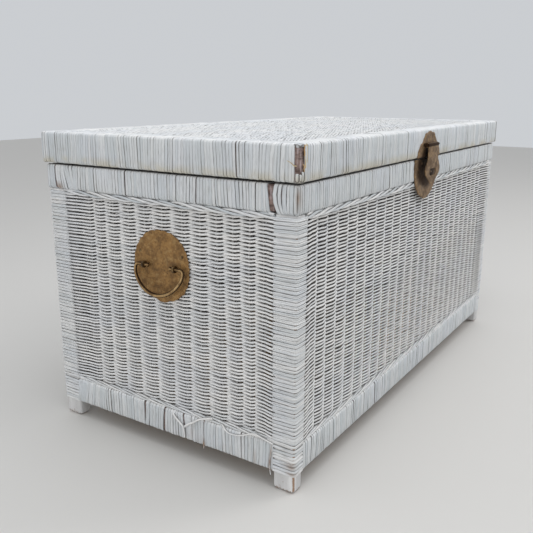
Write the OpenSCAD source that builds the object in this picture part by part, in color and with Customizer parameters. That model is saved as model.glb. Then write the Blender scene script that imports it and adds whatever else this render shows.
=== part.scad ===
// Wicker storage trunk: wooden corner posts and rails, bound with reed, with
// woven reed sides and lid, brass end handles, a brass hasp and rear hinges.
// X runs along the trunk, the front faces -Y and Z is up. The origin is on
// the floor, under the middle of the body. All lengths are millimetres.

/* [Body] */
// Length over the rails
body_l = 852; // [700:4:1000]
// Depth over the rails
body_d = 444; // [380:4:520]
// Height of the body's rim, where the top rails end
rim_z = 412; // [380:2:460]
// Height of the top rails
top_rail_h = 37; // [30:1:45]
// Underside of the bottom rails
bottom_rail_z = 26; // [20:1:40]
// Height of the bottom rails
bottom_rail_h = 41; // [30:1:50]
// Thickness of the reed bound round the rails
binding_t = 2; // [1.5:0.1:2.5]

/* [Posts and rails] */
// Corner post, along the trunk
post_x = 21; // [18:1:26]
// Corner post, across the trunk
post_y = 32; // [28:1:36]
// Thickness of the weavers that pass round a post
corner_t = 2.4; // [2:0.1:3]
// Thickness of the front and rear top rails, with their binding
long_rail_t = 34; // [30:1:36]
// Thickness of the end top rails, with their binding
end_rail_t = 24; // [20:1:26]
// Thickness of the bottom rails, with their binding
bottom_rail_t = 20; // [16:1:22]

/* [Weave] */
// Thickness of the woven sides and of the woven lid
weave_t = 8; // [7:0.5:9]
// How far the woven sides lie behind the rails' outer faces
weave_recess = 5; // [4:0.5:7]
// Radius of the upright stakes in the weave
stake_r = 2.5; // [2:0.1:2.8]
// Stakes on each side of the middle one, front and rear
long_stakes = 12; // [10:1:13]
// Stakes on each side of the middle one, ends
end_stakes = 6; // [5:1:6]

/* [Lid] */
// Gap between the rim and the lid
lid_gap = 2; // [1:0.5:3]
// Height of the lid's bound edge
lid_h = 46; // [40:1:52]
// How far the lid stands out past the body on every side
lid_over = 3.3; // [2:0.1:5]

/* [Handles] */
// Diameter of a handle's scalloped plate
handle_plate_d = 104; // [98:1:110]
// Height of the bail's pivot
handle_z = 282; // [260:1:300]
// Distance from the plate's middle to each eye
eye_y = 28; // [27:0.1:28.4]
// Half width of the bail, to the middle of its rod
bail_half_w = 43.5; // [42:0.5:45]
// Drop of the bail below its pivot, to the middle of its rod
bail_drop = 40.4; // [38:0.2:44]
// Radius of the bail's rod
bail_r = 2.7; // [2.2:0.1:2.8]
// Angle at which the bail stands off its plate, in degrees
bail_lean = 12; // [8:1:14]

/* [Hasp] */
// Diameter of the hasp's round plate, cut in two by the lid's gap
hasp_plate_d = 112; // [104:1:116]
// Height of the middle of that plate
hasp_plate_z = 399; // [396:1:402]
// Height of the hasp's hinge pin
hasp_pin_z = 434; // [431:1:437]
// Distance from the hinge pin to the strap's lowest point
strap_drop = 67; // [62:1:70]
// How far the staple stands out of its plate
staple_out = 8.6; // [8:0.1:8.8]

/* [Hidden] */

$fn = 32;

painted = [0.86, 0.86, 0.84];
bare_wood = [0.62, 0.47, 0.32];
plywood = [0.72, 0.6, 0.44];
aged_brass = [0.5, 0.39, 0.24];

half_l = body_l / 2;
half_d = body_d / 2;
post_outer_x = half_l - corner_t;
post_outer_y = half_d - corner_t;
post_inner_x = post_outer_x - post_x;
post_inner_y = post_outer_y - post_y;
top_rail_z = rim_z - top_rail_h;
bottom_rail_top = bottom_rail_z + bottom_rail_h;
corner_weave_z = bottom_rail_z - 1;
long_rail_inner = half_d - long_rail_t;
edge_r = 4;
foot_chamfer = 3;

// Woven sides
weave_x = half_l - weave_recess;
weave_y = half_d - weave_recess;
stake_x = weave_x - weave_t / 2;
stake_y = weave_y - weave_t / 2;
stake_pitch_long = 32.3;
stake_pull_long = 16.75;
stake_pitch_end = 33;
stake_pull_end = 40.8;

// Base
ledger_w = 12;
ledger_h = 12;
board_t = 5;
board_play = 0.5;
batten_w = 30;
batten_x = 200;

// Lid
lid_z = rim_z + lid_gap;
lid_top = lid_z + lid_h;
lid_half_l = half_l + lid_over;
lid_half_d = half_d + lid_over;
lid_long_inner = lid_half_d - long_rail_t;
lid_end_inner = lid_half_l - end_rail_t;
lid_weave_drop = 1;
lid_weave_z = lid_top - lid_weave_drop - weave_t;

// Handles
plate_t = 1.4;
plate_face_x = weave_x + plate_t;
pivot_x = plate_face_x + 5.2;
eye_bore_r = 2.28;
bail_pin_r = 2.2;
eye_ring_r = 5;
eye_ring_w = 3;
eye_shank_r = 1.5;
eye_leg_l = 9;
bail_bend_r = 5;
bail_side_r = 24;
bail_end_y = 19.5;
bail_knob_r = 2.9;
nail_r = 0.9;
nail_head_r = 2.1;
handle_nail_y = 38.5;
handle_nail_z = handle_z + 18;
plate_scallops = 26;
scallop_depth = 1.1;

// Hasp
lid_plate_y = -lid_half_d - plate_t;
body_plate_y = -half_d - plate_t;
hasp_pin_y = lid_plate_y - 4;
hasp_pin_r = 1.5;
strap_barrel_r = 3.6;
plate_knuckle_r = 4;
strap_t = 1.6;
strap_top_w = 48;
strap_knuckle_w = 48;
plate_knuckle_w = 5;
knuckle_gap = 0.4;
strap_bulb_w = 69;
strap_bulb_z = 393;
strap_neck_w = 47;
strap_slot_w = 30;
strap_slot_h = 12;
seam_clear = 0.5;
staple_z = 389;
staple_wire_r = 1.5;
staple_half_w = 6.5;

// Rear hinges
hinge_x = 280;
leaf_w = 60;
leaf_h = 32;
leaf_t = 1.6;
hinge_pin_r = 1.6;
hinge_bore_r = 1.68;
hinge_barrel_r = 3.5;
hinge_y = lid_half_d + leaf_t + 2.5;
hinge_z = rim_z + lid_gap / 2;
mid_knuckle_w = 19.6;
screw_r = 1.6;
screw_head_r = 3.4;
screw_head_t = 1.8;
screw_l = 14;
screw_pitch = 20;

// Place of stake k, counted from the middle. Stakes stand closer together near the posts.
function crowd(k, pitch, pull, last, power) =
    pitch * k - sign(k) * pull * pow(abs(k) / (last + 0.5), power);
function long_stake_x(k) = crowd(k, stake_pitch_long, stake_pull_long, long_stakes, 8);
function end_stake_y(k) = crowd(k, stake_pitch_end, stake_pull_end, end_stakes, 3);

// Mirrored copies for the right end and the rear
module on_end(side) { mirror([side > 0 ? 1 : 0, 0, 0]) children(); }
module on_rear(rear) { mirror([0, rear ? 1 : 0, 0]) children(); }

// A block whose edges along X are rounded, between two corners
module rounded_bar_x(lo, hi, r) {
    translate([lo.x, 0, 0]) rotate([90, 0, 90]) linear_extrude(hi.x - lo.x)
        rounded_rect([lo.y, lo.z], [hi.y, hi.z], r);
}
module rounded_bar_y(lo, hi, r) {
    translate([0, hi.y, 0]) rotate([90, 0, 0]) linear_extrude(hi.y - lo.y)
        rounded_rect([lo.x, lo.z], [hi.x, hi.z], r);
}
module rounded_rect(lo, hi, r) {
    translate([lo.x + r, lo.y]) square([hi.x - lo.x - 2 * r, hi.y - lo.y]);
    translate([lo.x, lo.y + r]) square([hi.x - lo.x, hi.y - lo.y - 2 * r]);
    for (x = [lo.x + r, hi.x - r], y = [lo.y + r, hi.y - r]) translate([x, y]) circle(r);
}
module block(lo, hi) { translate(lo) cube(hi - lo); }

// Corner posts, with a foot below the rails
module post(side, rear) {
    color(painted) on_end(side) on_rear(rear) {
        block([-post_outer_x, -post_outer_y, foot_chamfer],
              [-post_inner_x, -post_inner_y, top_rail_z]);
        hull() {
            block([-post_outer_x, -post_outer_y, foot_chamfer - 0.5],
                  [-post_inner_x, -post_inner_y, foot_chamfer]);
            block([-post_outer_x + foot_chamfer, -post_outer_y + foot_chamfer, 0],
                  [-post_inner_x - foot_chamfer, -post_inner_y - foot_chamfer, 0.5]);
        }
    }
}

// Weavers that pass round the two outer faces of a post
module corner_weave(side, rear) {
    color(painted) on_end(side) on_rear(rear) difference() {
        block([-half_l, -half_d, corner_weave_z], [-post_inner_x, -post_inner_y, top_rail_z]);
        block([-post_outer_x, -post_outer_y, corner_weave_z - 1],
              [-post_inner_x + 1, -post_inner_y + 1, top_rail_z + 1]);
    }
}

// Top rails: the long ones lie over the posts, the short ones fit between them
module long_rail_core(outer_l, outer_y, z0, h, t) {
    rounded_bar_x([-outer_l + binding_t, -outer_y + binding_t, z0 + binding_t],
                  [outer_l - binding_t, -outer_y + t - binding_t, z0 + h - binding_t],
                  edge_r - binding_t);
}
module end_rail_core(outer_x, inner_y, z0, h, t) {
    rounded_bar_y([-outer_x + binding_t, -inner_y, z0 + binding_t],
                  [-outer_x + t - binding_t, inner_y, z0 + h - binding_t],
                  edge_r - binding_t);
}
module top_rail_long(rear) {
    color(painted) on_rear(rear) long_rail_core(half_l, half_d, top_rail_z, top_rail_h, long_rail_t);
}
module top_rail_end(side) {
    color(painted) on_end(side)
        end_rail_core(half_l, long_rail_inner, top_rail_z, top_rail_h, end_rail_t);
}

// Reed bound round the rails, a sleeve over each one
module long_binding(outer_l, outer_y, z0, h, t) {
    difference() {
        rounded_bar_x([-outer_l, -outer_y, z0], [outer_l, -outer_y + t, z0 + h], edge_r);
        long_rail_core(outer_l, outer_y, z0, h, t);
    }
}
module end_binding(outer_x, inner_y, z0, h, t) {
    difference() {
        rounded_bar_y([-outer_x, -inner_y, z0], [-outer_x + t, inner_y, z0 + h], edge_r);
        end_rail_core(outer_x, inner_y + 1, z0, h, t);
    }
}
module top_rail_binding() {
    color(painted) {
        for (rear = [false, true]) on_rear(rear)
            long_binding(half_l, half_d, top_rail_z, top_rail_h, long_rail_t);
        for (side = [-1, 1]) on_end(side)
            end_binding(half_l, long_rail_inner, top_rail_z, top_rail_h, end_rail_t);
    }
}

// Bottom rails fit between the posts
module bottom_rail_long(rear) {
    color(painted) on_rear(rear)
        rounded_bar_x([-post_inner_x, -half_d + binding_t, bottom_rail_z + binding_t],
                      [post_inner_x, -half_d + bottom_rail_t - binding_t,
                       bottom_rail_top - binding_t], edge_r - binding_t);
}
module bottom_rail_end(side) {
    color(painted) on_end(side)
        end_rail_core(half_l, post_inner_y, bottom_rail_z, bottom_rail_h, bottom_rail_t);
}
module bottom_rail_binding() {
    color(painted) {
        for (rear = [false, true]) on_rear(rear) difference() {
            rounded_bar_x([-post_inner_x, -half_d, bottom_rail_z],
                          [post_inner_x, -half_d + bottom_rail_t, bottom_rail_top], edge_r);
            rounded_bar_x([-post_inner_x - 1, -half_d + binding_t, bottom_rail_z + binding_t],
                          [post_inner_x + 1, -half_d + bottom_rail_t - binding_t,
                           bottom_rail_top - binding_t], edge_r - binding_t);
        }
        for (side = [-1, 1]) on_end(side)
            end_binding(half_l, post_inner_y, bottom_rail_z, bottom_rail_h, bottom_rail_t);
    }
}

// Woven sides, each a closed panel between posts and rails
module weave_long(rear) {
    color(painted) on_rear(rear)
        block([-post_inner_x, -weave_y, bottom_rail_top],
              [post_inner_x, -weave_y + weave_t, top_rail_z]);
}
module weave_end(side) {
    color(painted) on_end(side)
        block([-weave_x, -post_inner_y, bottom_rail_top],
              [-weave_x + weave_t, post_inner_y, top_rail_z]);
}

// Upright stakes inside the woven sides
module stake(h) { cylinder(h = h, r = stake_r, $fn = 24); }
module stakes_long(rear) {
    color(painted) on_rear(rear) for (k = [-long_stakes:long_stakes])
        translate([long_stake_x(k), -stake_y, bottom_rail_top]) stake(top_rail_z - bottom_rail_top);
}
module stakes_end(side) {
    color(painted) on_end(side) for (k = [-end_stakes:end_stakes - 1])
        translate([-stake_x, end_stake_y(k), bottom_rail_top]) stake(top_rail_z - bottom_rail_top);
}

// Base: two ledgers inside the long rails, two battens and a thin board
module base_ledgers() {
    color(bare_wood) for (rear = [false, true]) on_rear(rear)
        block([-post_inner_x, -half_d + bottom_rail_t, bottom_rail_z],
              [post_inner_x, -half_d + bottom_rail_t + ledger_w, bottom_rail_z + ledger_h]);
}
module base_battens() {
    inner = half_d - bottom_rail_t - ledger_w;
    color(bare_wood) for (x = [-batten_x, batten_x])
        block([x - batten_w / 2, -inner, bottom_rail_z],
              [x + batten_w / 2, inner, bottom_rail_z + ledger_h]);
}
module base_board() {
    board_x = half_l - bottom_rail_t - board_play;
    board_y = half_d - bottom_rail_t - board_play;
    notch_x = post_inner_x - board_play;
    notch_y = post_inner_y - board_play;
    z0 = bottom_rail_z + ledger_h;
    color(plywood) union() {
        block([-notch_x, -board_y, z0], [notch_x, board_y, z0 + board_t]);
        block([-board_x, -notch_y, z0], [board_x, notch_y, z0 + board_t]);
    }
}

// Outline of a brass plate with a scalloped rim
function scalloped(d, n, a) = d / 2 - scallop_depth * (1 - abs(cos(n * a / 2)));
module scalloped_disc(d) {
    steps = plate_scallops * 5;
    polygon([for (i = [0:steps - 1]) let (a = 360 * i / steps)
        scalloped(d, plate_scallops, a) * [cos(a), sin(a)]]);
}

// Handles: plate, two eyes, nails and a drop bail. Built for the left end.
module facing_left(x) { translate([x, 0, handle_z]) rotate([90, 0, -90]) children(); }
module handle_plate(side) {
    color(aged_brass) on_end(side) difference() {
        facing_left(-weave_x) linear_extrude(plate_t) scalloped_disc(handle_plate_d);
        for (y = [-eye_y, eye_y]) translate([-plate_face_x - 1, y, handle_z])
            rotate([0, 90, 0]) cylinder(h = plate_t + 2, r = eye_shank_r);
        for (y = [-handle_nail_y, handle_nail_y]) translate([-plate_face_x - 1, y, handle_nail_z])
            rotate([0, 90, 0]) cylinder(h = plate_t + 2, r = nail_r);
    }
}
module eye(y) {
    shank_l = pivot_x - eye_bore_r - 1 - (weave_x - weave_t);
    translate([-pivot_x, y, handle_z]) rotate([90, 0, 0]) difference() {
        cylinder(h = eye_ring_w, r = eye_ring_r, center = true);
        cylinder(h = eye_ring_w + 2, r = eye_bore_r, center = true);
    }
    translate([-pivot_x + eye_bore_r + 1, y, handle_z]) rotate([0, 90, 0])
        cylinder(h = shank_l, r = eye_shank_r);
    for (leg = [-1, 1]) translate([-weave_x + weave_t, y, handle_z])
        mirror([0, 0, leg > 0 ? 0 : 1]) translate([0, -eye_shank_r, -eye_shank_r])
            cube([2, 2 * eye_shank_r, eye_leg_l]);
}
module handle_eyes(side) { color(aged_brass) on_end(side) for (y = [-eye_y, eye_y]) eye(y); }
module handle_nails() {
    color(aged_brass) for (side = [-1, 1], y = [-handle_nail_y, handle_nail_y])
        on_end(side) translate([-plate_face_x, y, handle_nail_z]) rotate([0, 90, 0]) {
            translate([0, 0, -0.8]) cylinder(h = 0.8, r = nail_head_r);
            cylinder(h = plate_t + weave_t, r = nail_r);
        }
}

// The bail's centre line, in its own plane: level pins, a tight bend, a side arc and
// one wide bottom arc, then the same mirrored
function arc(c, r, from, to, steps) =
    [for (i = [0:steps]) let (a = from + (to - from) * i / steps) c + r * [cos(a), sin(a)]];
function bail_half_line() =
    let (drop = bail_drop - bail_bend_r,
         side_c = bail_half_w - bail_side_r,
         bottom_r = (side_c * side_c + drop * drop - bail_side_r * bail_side_r)
             / (2 * (drop - bail_side_r)),
         bend_y = bail_half_w - bail_bend_r,
         meet = -atan2(bottom_r - drop, side_c))
    concat([[eye_y + eye_ring_w / 2 + knuckle_gap, 0], [bend_y - 4, 0]],
           arc([bend_y, -bail_bend_r], bail_bend_r, 90, 0, 6),
           arc([side_c, -bail_bend_r], bail_side_r, meet / 4, meet, 3),
           arc([0, bottom_r - drop - bail_bend_r], bottom_r, meet * 0.75 - 22.5, -90, 7));
function mirrored_back(line) =
    [for (i = [len(line) - 2:-1:0]) [-line[i].x, line[i].y]];

// A round rod swept along a flat line in the YZ plane
rod_sides = 12;
module flat_rod(line, r) {
    last = len(line) - 1;
    rings = [for (i = [0:last])
        let (d = line[min(i + 1, last)] - line[max(i - 1, 0)],
             n = [-d.y, d.x] / norm(d))
        for (j = [0:rod_sides - 1])
            let (a = 360 * j / rod_sides)
            [r * cos(a), line[i].x + r * sin(a) * n.x, line[i].y + r * sin(a) * n.y]];
    sides = [for (i = [0:last - 1], j = [0:rod_sides - 1])
        let (k = (j + 1) % rod_sides)
        [i * rod_sides + j, i * rod_sides + k, (i + 1) * rod_sides + k, (i + 1) * rod_sides + j]];
    near_cap = [for (j = [rod_sides - 1:-1:0]) j];
    far_cap = [for (j = [0:rod_sides - 1]) last * rod_sides + j];
    polyhedron(rings, concat(sides, [near_cap, far_cap]));
}
module bail(side) {
    half_line = bail_half_line();
    pin_l = bail_half_w - bail_bend_r - bail_end_y;
    color(aged_brass) on_end(side) translate([-pivot_x, 0, handle_z]) {
        rotate([0, bail_lean, 0]) flat_rod(concat(half_line, mirrored_back(half_line)), bail_r);
        for (s = [-1, 1]) mirror([0, s > 0 ? 0 : 1, 0]) translate([0, bail_end_y, 0])
            rotate([-90, 0, 0]) {
                cylinder(h = pin_l, r = bail_pin_r);
                cylinder(h = 2.2, r = bail_knob_r);
            }
    }
}

// Hasp plates: one scalloped disc, its upper part on the lid and lower part on the rail
module hasp_disc(y_back) {
    translate([0, y_back, hasp_plate_z]) rotate([90, 0, 0])
        linear_extrude(plate_t) scalloped_disc(hasp_plate_d);
}
module nail_y(x, y_face, z, l) {
    translate([x, y_face, z]) rotate([-90, 0, 0]) {
        translate([0, 0, -0.8]) cylinder(h = 0.8, r = nail_head_r);
        cylinder(h = l, r = nail_r);
    }
}
module nail_hole_y(x, z) {
    translate([x, -lid_half_d - plate_t - 1, z]) rotate([-90, 0, 0])
        cylinder(h = lid_over + 2 * plate_t + 2, r = nail_r);
}
upper_nails = [[-43, 419], [43, 419], [-20, 446], [20, 446]];
lower_nails = [[-44, 396], [44, 396], [-26, 404], [26, 404]];
nail_l = 12;
module hasp_upper_plate() {
    wide = half_l;
    color(aged_brass) difference() {
        union() {
            intersection() {
                hasp_disc(-lid_half_d);
                block([-wide, -wide, lid_z + seam_clear], [wide, 0, 2 * lid_top]);
            }
            for (s = [-1, 1]) mirror([s > 0 ? 0 : 1, 0, 0])
                translate([strap_knuckle_w / 2 + knuckle_gap, 0, 0]) {
                    translate([0, hasp_pin_y, hasp_pin_z]) rotate([0, 90, 0])
                        cylinder(h = plate_knuckle_w, r = plate_knuckle_r);
                    block([0, hasp_pin_y, hasp_pin_z - plate_knuckle_r],
                          [plate_knuckle_w, -lid_half_d - 0.5, hasp_pin_z]);
                }
        }
        translate([-wide, hasp_pin_y, hasp_pin_z]) rotate([0, 90, 0])
            cylinder(h = 2 * wide, r = hasp_pin_r);
        for (n = upper_nails) nail_hole_y(n.x, n.y);
    }
}
module hasp_pin() {
    half_w = strap_knuckle_w / 2 + knuckle_gap + plate_knuckle_w;
    color(aged_brass) translate([-half_w - 0.8, hasp_pin_y, hasp_pin_z]) rotate([0, 90, 0]) {
        cylinder(h = 2 * half_w + 1.6, r = hasp_pin_r);
        cylinder(h = 0.8, r = 2.3);
        translate([0, 0, 2 * half_w + 0.8]) cylinder(h = 0.8, r = 2.3);
    }
}
module hasp_upper_nails() {
    color(aged_brass) for (n = upper_nails) nail_y(n.x, lid_plate_y, n.y, nail_l);
}
module hasp_lower_plate() {
    wide = half_l;
    color(aged_brass) difference() {
        intersection() {
            hasp_disc(-half_d);
            block([-wide, -wide, 0], [wide, 0, rim_z - seam_clear]);
        }
        for (n = lower_nails) nail_hole_y(n.x, n.y);
        for (x = [-staple_half_w, staple_half_w]) translate([x, body_plate_y - 1, staple_z])
            rotate([-90, 0, 0]) cylinder(h = plate_t + 2, r = staple_wire_r);
    }
}
module hasp_lower_nails() {
    color(aged_brass) for (n = lower_nails) nail_y(n.x, body_plate_y, n.y, nail_l);
}
// The staple is a level U of wire, closed at its outer end
module hasp_staple() {
    bend = staple_half_w;
    leg_l = staple_out - staple_wire_r - bend;
    color(aged_brass) translate([0, 0, staple_z]) {
        for (x = [-staple_half_w, staple_half_w])
            translate([x, body_plate_y - leg_l, 0]) rotate([-90, 0, 0])
                cylinder(h = leg_l + plate_t + 10, r = staple_wire_r, $fn = 24);
        translate([0, body_plate_y - leg_l, 0]) rotate([0, 0, 180])
            rotate_extrude(angle = 180) translate([bend, 0]) circle(staple_wire_r, $fn = 24);
    }
}

// Pear-shaped hasp strap, hung from its own knuckle
module strap_outline() {
    bulb_r = strap_bulb_w / 2;
    bulb_z = strap_bulb_z - hasp_pin_z;
    tip_r = 13;
    hull() {
        translate([-strap_neck_w / 2, -24]) square([strap_neck_w, 1]);
        for (s = [-1, 1]) translate([s * (bulb_r - 10), bulb_z]) circle(10);
        translate([0, -strap_drop + tip_r]) circle(tip_r);
    }
    translate([-strap_top_w / 2, -24]) square([strap_top_w, 24]);
}
module hasp_strap() {
    color(aged_brass) difference() {
        union() {
            translate([0, hasp_pin_y - strap_barrel_r + strap_t, hasp_pin_z]) rotate([90, 0, 0])
                linear_extrude(strap_t) strap_outline();
            translate([-strap_knuckle_w / 2, hasp_pin_y, hasp_pin_z]) rotate([0, 90, 0])
                cylinder(h = strap_knuckle_w, r = strap_barrel_r);
        }
        translate([-strap_top_w, hasp_pin_y, hasp_pin_z]) rotate([0, 90, 0])
            cylinder(h = 2 * strap_top_w, r = hasp_pin_r + 0.06);
        hull() for (s = [-1, 1])
            translate([s * (strap_slot_w - strap_slot_h) / 2, hasp_pin_y, staple_z])
                rotate([90, 0, 0]) cylinder(h = 10, r = strap_slot_h / 2);
    }
}

// Rear butt hinges: lower leaf on the rail, upper leaf on the lid, loose pin
module along_hinge(x, w) { translate([x - w / 2, hinge_y, hinge_z]) rotate([0, 90, 0]) children(); }
module lower_leaf(cx) {
    knuckle_w = (leaf_w - mid_knuckle_w) / 2 - knuckle_gap;
    top_z = hinge_z - hinge_barrel_r;
    color(aged_brass) difference() {
        union() {
            block([cx - leaf_w / 2, half_d, top_z - leaf_h],
                  [cx + leaf_w / 2, half_d + leaf_t, top_z]);
            for (s = [-1, 1]) {
                kx = cx + s * (leaf_w - knuckle_w) / 2;
                block([kx - knuckle_w / 2, half_d, top_z - 0.2],
                      [kx + knuckle_w / 2, hinge_y, top_z + leaf_t]);
                along_hinge(kx, knuckle_w) cylinder(h = knuckle_w, r = hinge_barrel_r);
            }
        }
        along_hinge(cx, 2 * leaf_w) cylinder(h = 2 * leaf_w, r = hinge_pin_r);
        for (s = [-1, 0, 1]) translate([cx + s * screw_pitch, half_d - 1, top_z - leaf_h / 2])
            rotate([-90, 0, 0]) cylinder(h = leaf_t + 2, r = screw_r);
    }
}
module upper_leaf(cx) {
    leaf_z = hinge_z + hinge_barrel_r + 0.8;
    color(aged_brass) difference() {
        union() {
            block([cx - leaf_w / 2, lid_half_d, leaf_z],
                  [cx + leaf_w / 2, lid_half_d + leaf_t, leaf_z + leaf_h]);
            block([cx - mid_knuckle_w / 2, lid_half_d, hinge_z],
                  [cx + mid_knuckle_w / 2, lid_half_d + leaf_t, leaf_z + 1]);
            along_hinge(cx, mid_knuckle_w) cylinder(h = mid_knuckle_w, r = hinge_barrel_r);
        }
        along_hinge(cx, 2 * leaf_w) cylinder(h = 2 * leaf_w, r = hinge_bore_r);
        for (s = [-1, 0, 1]) translate([cx + s * screw_pitch, lid_half_d - 1, leaf_z + leaf_h / 2])
            rotate([-90, 0, 0]) cylinder(h = leaf_t + 2, r = screw_r);
    }
}
module hinge_pin(cx) {
    color(aged_brass) along_hinge(cx, leaf_w + 2) {
        cylinder(h = leaf_w + 2, r = hinge_pin_r);
        cylinder(h = 1, r = 2.6);
        translate([0, 0, leaf_w + 1]) cylinder(h = 1, r = 2.6);
    }
}
module screw(x, y_face, z) {
    translate([x, y_face, z]) rotate([90, 0, 0]) {
        translate([0, 0, -screw_head_t]) cylinder(h = screw_head_t, r1 = 2, r2 = screw_head_r, $fn = 24);
        cylinder(h = screw_l, r = screw_r);
    }
}
module hinge_lower_screws() {
    z = hinge_z - hinge_barrel_r - leaf_h / 2;
    color(aged_brass) for (cx = [-hinge_x, hinge_x], s = [-1, 0, 1])
        screw(cx + s * screw_pitch, half_d + leaf_t, z);
}
module hinge_upper_screws() {
    z = hinge_z + hinge_barrel_r + 0.8 + leaf_h / 2;
    color(aged_brass) for (cx = [-hinge_x, hinge_x], s = [-1, 0, 1])
        screw(cx + s * screw_pitch, lid_half_d + leaf_t, z);
}

// Lid: bound rails all round and a woven top on its own stakes
module lid_rail_long(rear) {
    color(painted) on_rear(rear) long_rail_core(lid_half_l, lid_half_d, lid_z, lid_h, long_rail_t);
}
module lid_rail_end(side) {
    color(painted) on_end(side)
        end_rail_core(lid_half_l, lid_long_inner, lid_z, lid_h, end_rail_t);
}
module lid_binding() {
    color(painted) {
        for (rear = [false, true]) on_rear(rear)
            long_binding(lid_half_l, lid_half_d, lid_z, lid_h, long_rail_t);
        for (side = [-1, 1]) on_end(side)
            end_binding(lid_half_l, lid_long_inner, lid_z, lid_h, end_rail_t);
    }
}
module lid_weave() {
    color(painted) block([-lid_end_inner, -lid_long_inner, lid_weave_z],
                         [lid_end_inner, lid_long_inner, lid_weave_z + weave_t]);
}
module lid_stakes() {
    color(painted) for (k = [-long_stakes:long_stakes])
        translate([long_stake_x(k), lid_long_inner, lid_weave_z + weave_t / 2])
            rotate([90, 0, 0]) stake(2 * lid_long_inner);
}

post(-1, false);  // post_front_left
post(1, false);  // post_front_right
post(-1, true);  // post_rear_left
post(1, true);  // post_rear_right
corner_weave(-1, false);  // corner_weave_front_left
corner_weave(1, false);  // corner_weave_front_right
corner_weave(-1, true);  // corner_weave_rear_left
corner_weave(1, true);  // corner_weave_rear_right
top_rail_long(false);  // top_rail_front
top_rail_long(true);  // top_rail_rear
top_rail_end(-1);  // top_rail_left
top_rail_end(1);  // top_rail_right
bottom_rail_long(false);  // bottom_rail_front
bottom_rail_long(true);  // bottom_rail_rear
bottom_rail_end(-1);  // bottom_rail_left
bottom_rail_end(1);  // bottom_rail_right
top_rail_binding();
bottom_rail_binding();
weave_long(false);  // weave_front
weave_long(true);  // weave_rear
weave_end(-1);  // weave_left
weave_end(1);  // weave_right
stakes_long(false);  // stakes_front
stakes_long(true);  // stakes_rear
stakes_end(-1);  // stakes_left
stakes_end(1);  // stakes_right
base_board();
base_ledgers();
base_battens();
handle_plate(-1);  // handle_plate_left
handle_plate(1);  // handle_plate_right
handle_eyes(-1);  // handle_eyes_left
handle_eyes(1);  // handle_eyes_right
bail(-1);  // bail_left
bail(1);  // bail_right
handle_nails();
hasp_lower_plate();
hasp_staple();
hasp_lower_nails();
lower_leaf(-hinge_x);  // hinge_lower_leaf_left
lower_leaf(hinge_x);  // hinge_lower_leaf_right
hinge_pin(-hinge_x);  // hinge_pin_left
hinge_pin(hinge_x);  // hinge_pin_right
hinge_lower_screws();
lid_rail_long(false);  // lid_rail_front
lid_rail_long(true);  // lid_rail_rear
lid_rail_end(-1);  // lid_rail_left
lid_rail_end(1);  // lid_rail_right
lid_binding();
lid_weave();
lid_stakes();
hasp_upper_plate();
hasp_pin();
hasp_upper_nails();
hasp_strap();
upper_leaf(-hinge_x);  // hinge_upper_leaf_left
upper_leaf(hinge_x);  // hinge_upper_leaf_right
hinge_upper_screws();
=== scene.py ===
"""Wicker storage trunk: woven reed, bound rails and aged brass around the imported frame."""
import math

import bmesh
import bpy
import numpy as np
from mathutils import Matrix, Vector


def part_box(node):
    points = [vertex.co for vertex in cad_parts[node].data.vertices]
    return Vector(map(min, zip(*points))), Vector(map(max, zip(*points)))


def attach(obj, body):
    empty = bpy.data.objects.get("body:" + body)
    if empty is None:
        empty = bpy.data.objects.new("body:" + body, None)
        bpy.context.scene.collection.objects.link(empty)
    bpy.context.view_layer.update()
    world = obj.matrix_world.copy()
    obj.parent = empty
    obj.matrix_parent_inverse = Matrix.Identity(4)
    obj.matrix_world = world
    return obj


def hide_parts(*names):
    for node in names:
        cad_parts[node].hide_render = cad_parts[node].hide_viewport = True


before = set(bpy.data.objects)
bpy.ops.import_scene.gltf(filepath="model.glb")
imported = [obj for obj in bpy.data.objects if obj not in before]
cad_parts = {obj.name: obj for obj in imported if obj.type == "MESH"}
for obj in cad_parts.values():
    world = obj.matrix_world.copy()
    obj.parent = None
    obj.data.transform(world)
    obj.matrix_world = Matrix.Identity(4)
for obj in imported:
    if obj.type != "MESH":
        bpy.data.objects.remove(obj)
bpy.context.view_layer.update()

rng = np.random.default_rng(20)
MM = 0.001
TAU = 2 * math.pi


# ---- places from the frame
class Side:
    """One face of the trunk: the way along it, up it and out of it, seen from outside. Its
    kind is end, long or lid."""

    def __init__(self, along, up, out):
        self.along, self.up, self.out = (np.array(v, float) for v in (along, up, out))
        self.kind = ("end", "long", "lid")[int(np.argmax(np.abs(out)))]

    def place(self, u, v, w):
        """Points at u along, v up and w out from the origin."""
        u, v, w = np.broadcast_arrays(u, v, w)
        return u[..., None] * self.along + v[..., None] * self.up + w[..., None] * self.out


FRONT = Side((1, 0, 0), (0, 0, 1), (0, -1, 0))
REAR = Side((-1, 0, 0), (0, 0, 1), (0, 1, 0))
LEFT = Side((0, -1, 0), (0, 0, 1), (-1, 0, 0))
RIGHT = Side((0, 1, 0), (0, 0, 1), (1, 0, 0))
LID_TOP = Side((1, 0, 0), (0, 1, 0), (0, 0, 1))
SIDES = {"front": FRONT, "rear": REAR, "left": LEFT, "right": RIGHT}

rim_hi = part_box("top_rail_binding")[1]
lid_lo, lid_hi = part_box("lid_binding")
post_lo, post_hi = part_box("post_front_left")
post_inner_x, post_inner_y = -post_hi.x, -post_hi.y
post_out_x, post_out_y = -post_lo.x, -post_lo.y
column_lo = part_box("corner_weave_front_left")[0]
corner_out_x, corner_out_y, corner_z = -column_lo.x, -column_lo.y, column_lo.z
panel_z, panel_top = (corner.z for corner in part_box("weave_front"))
pin_lo, pin_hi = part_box("hasp_pin")


def span(side, node):
    """A CAD node's box in a side's own directions: (u low, high), (v low, high), (w low, high)."""
    lo, hi = (np.array(c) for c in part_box(node))
    return [sorted((float(lo @ axis), float(hi @ axis))) for axis in (side.along, side.up, side.out)]


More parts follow.
